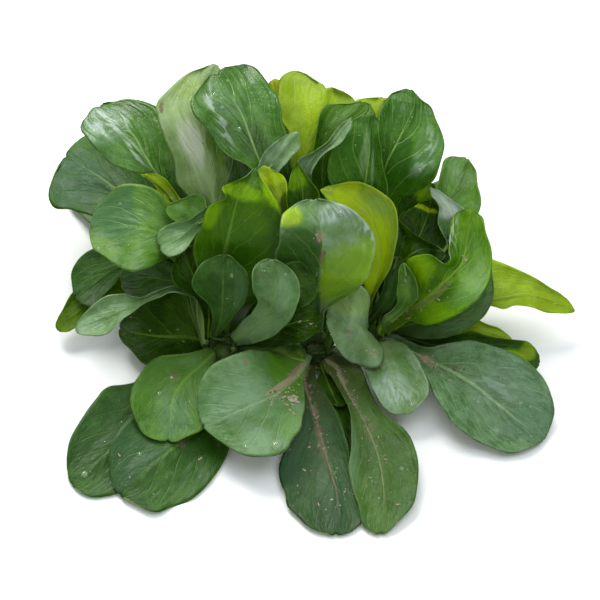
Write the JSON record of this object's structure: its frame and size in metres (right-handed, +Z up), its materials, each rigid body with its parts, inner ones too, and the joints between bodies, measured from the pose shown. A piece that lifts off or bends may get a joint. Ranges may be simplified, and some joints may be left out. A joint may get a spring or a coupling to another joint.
{
  "type": "corn salad clump",
  "caption": "Picked clump of corn salad with short leafy shoots of spoon-shaped green leaves on one cut crown, resting upright on its base.",
  "frame": {"origin": "centre of the clump's plan at the height of the flat cut face it rests on", "axes": "+Z up from the cut face; the side with the open, low front leaves faces -Y; the left shoot is on -X"},
  "size_m": [0.1856, 0.1912, 0.0774],
  "materials": {
    "leaf_deep_green": "satin, dark green leaf",
    "leaf_mid_green": "satin, green leaf",
    "leaf_yellow_green": "satin, thin yellow-green leaf that lets light through",
    "leaf_bluish_green": "satin, pale green leaf with a bluish bloom",
    "crown": "dull, pale green cut stem and brownish root stock"
  },
  "bodies": {
    "root": {"left_shoot_leaf_01": "leaf_deep_green", "left_shoot_leaf_02": "leaf_deep_green", "middle_shoot_leaf_01": "leaf_deep_green", "right_shoot_leaf_01": "leaf_deep_green", "left_shoot_leaf_03": "leaf_deep_green", "left_shoot_leaf_04": "leaf_deep_green", "right_shoot_leaf_02": "leaf_yellow_green", "right_shoot_leaf_03": "leaf_yellow_green", "middle_shoot_leaf_02": "leaf_yellow_green", "right_shoot_leaf_04": "leaf_yellow_green", "middle_shoot_leaf_03": "leaf_deep_green", "middle_shoot_leaf_04": "leaf_deep_green", "left_shoot_leaf_05": "leaf_deep_green", "left_shoot_leaf_06": "leaf_yellow_green", "right_shoot_leaf_05": "leaf_mid_green", "middle_shoot_leaf_05": "leaf_yellow_green", "middle_shoot_leaf_06": "leaf_mid_green", "middle_shoot_leaf_07": "leaf_deep_green", "left_shoot_leaf_07": "leaf_bluish_green", "left_shoot_leaf_08": "leaf_yellow_green", "right_shoot_leaf_06": "leaf_deep_green", "middle_shoot_leaf_08": "leaf_mid_green", "middle_shoot_leaf_09": "leaf_deep_green", "right_shoot_leaf_07": "leaf_deep_green", "left_shoot_leaf_09": "leaf_deep_green", "left_shoot_leaf_10": "leaf_bluish_green", "right_shoot_leaf_08": "leaf_deep_green", "right_shoot_leaf_09": "leaf_mid_green", "left_shoot_leaf_11": "leaf_deep_green", "middle_shoot_leaf_10": "leaf_mid_green", "right_shoot_leaf_10": "leaf_mid_green", "right_shoot_leaf_11": "leaf_deep_green", "right_shoot_leaf_12": "leaf_mid_green", "left_shoot_leaf_12": "leaf_mid_green", "right_shoot_leaf_13": "leaf_bluish_green", "middle_shoot_leaf_11": "leaf_mid_green", "middle_shoot_leaf_12": "leaf_bluish_green", "right_shoot_leaf_14": "leaf_bluish_green", "left_shoot_leaf_13": "leaf_bluish_green", "right_shoot_leaf_15": "leaf_deep_green", "middle_shoot_leaf_13": "leaf_yellow_green", "left_shoot_leaf_14": "leaf_mid_green", "left_shoot_leaf_15": "leaf_yellow_green", "right_shoot_leaf_16": "leaf_yellow_green", "middle_shoot_leaf_14": "leaf_yellow_green", "left_shoot_leaf_16": "leaf_deep_green", "left_shoot_leaf_17": "leaf_bluish_green", "left_shoot_leaf_18": "leaf_mid_green", "middle_shoot_leaf_15": "leaf_bluish_green", "right_shoot_leaf_17": "leaf_yellow_green", "left_shoot_leaf_19": "leaf_mid_green", "right_shoot_leaf_18": "leaf_mid_green", "right_shoot_leaf_19": "leaf_yellow_green", "right_shoot_leaf_20": "leaf_bluish_green", "middle_shoot_leaf_16": "leaf_bluish_green", "left_shoot_leaf_20": "leaf_mid_green", "left_shoot_leaf_21": "leaf_mid_green", "left_shoot_leaf_22": "leaf_mid_green", "left_shoot_leaf_23": "leaf_bluish_green", "crown": "crown"}
  },
  "joints": []
}
